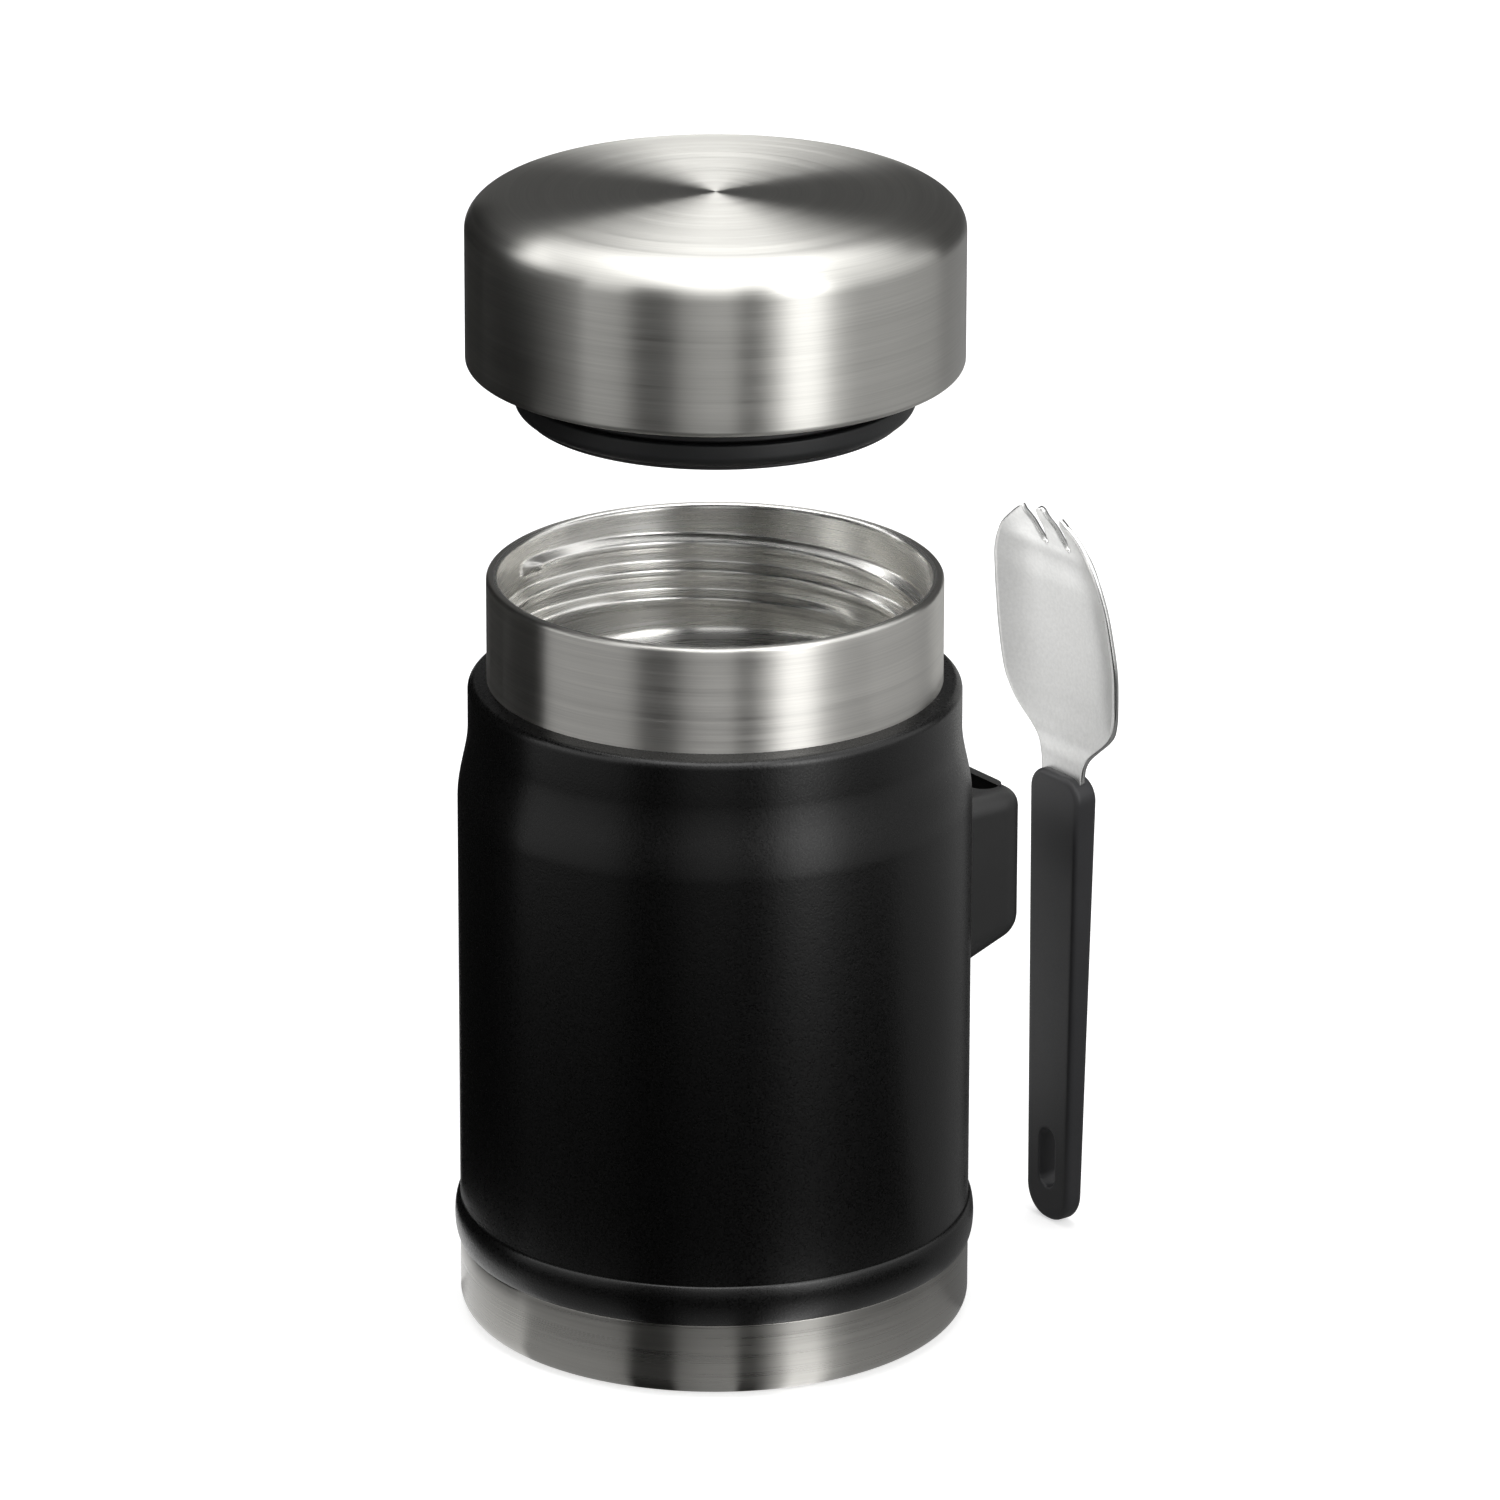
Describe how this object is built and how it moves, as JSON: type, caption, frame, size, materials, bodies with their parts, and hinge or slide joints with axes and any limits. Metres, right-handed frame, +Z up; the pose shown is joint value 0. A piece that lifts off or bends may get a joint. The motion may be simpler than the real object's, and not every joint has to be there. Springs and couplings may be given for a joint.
{
  "type": "insulated food jar",
  "caption": "Insulated steel food jar with a screw-in lid held above it, a side holder, and a steel spork with a plastic handle that stows in the holder.",
  "frame": {"origin": "centre of the jar's flat foot, on the surface it stands on", "axes": "+Z up along the jar's axis, +X through the spork holder, +Y completes a right-handed frame"},
  "size_m": [0.1155, 0.0878, 0.196],
  "materials": {
    "brushed_steel": "satin",
    "vessel_steel": "polished",
    "inner_steel": "satin",
    "black_powder_coat": "matte",
    "seal_solder": "gloss",
    "getter_alloy": "matte",
    "spring_steel": "satin",
    "copper_foil": "polished",
    "holder_plastic": "matte",
    "pad_foam": "matte",
    "spork_steel": "satin",
    "handle_plastic": "matte",
    "lid_steel": "satin",
    "lining_plastic": "satin",
    "stopper_plastic": "satin",
    "insulation_foam": "matte",
    "seal_silicone": "matte"
  },
  "bodies": {
    "jar": {"inner_neck": "vessel_steel", "inner_vessel": "vessel_steel", "inner_bottom": "inner_steel", "neck_ring": "brushed_steel", "outer_shell": "black_powder_coat", "outer_bottom": "inner_steel", "vacuum_plug": "seal_solder", "getter": "getter_alloy", "getter_clip": "spring_steel", "radiation_foil": "copper_foil", "base_cup": "brushed_steel", "spork_holder": "holder_plastic", "holder_pad": "pad_foam"},
    "lid_seal": {"lid_seal": "seal_silicone"},
    "lid": {"lid_cap": "lid_steel", "lid_lining": "lining_plastic", "stopper": "stopper_plastic", "stopper_floor": "stopper_plastic", "lid_foam": "insulation_foam"},
    "spork": {"spork_head": "spork_steel", "spork_handle": "handle_plastic"}
  },
  "joints": [
    {"name": "lid_lift", "type": "slide", "parent": "jar", "child": "lid_seal", "axis": [0, 0, 1], "range_m": [-0.055, 0]},
    {"name": "lid_turn", "type": "hinge", "parent": "lid_seal", "child": "lid", "pos_m": [0, 0, 0.16], "axis": [0, 0, 1], "range_deg": [-1980, 0]},
    {"name": "spork_carry", "type": "slide", "parent": "jar", "child": "spork", "axis": [-0.1112, 0.0364, 0.9931], "range_m": [0, 0.15104]}
  ],
  "couplings": [
    {"joint": "lid_lift", "follows": "lid_turn", "m_per_rad": 0.0015915}
  ]
}
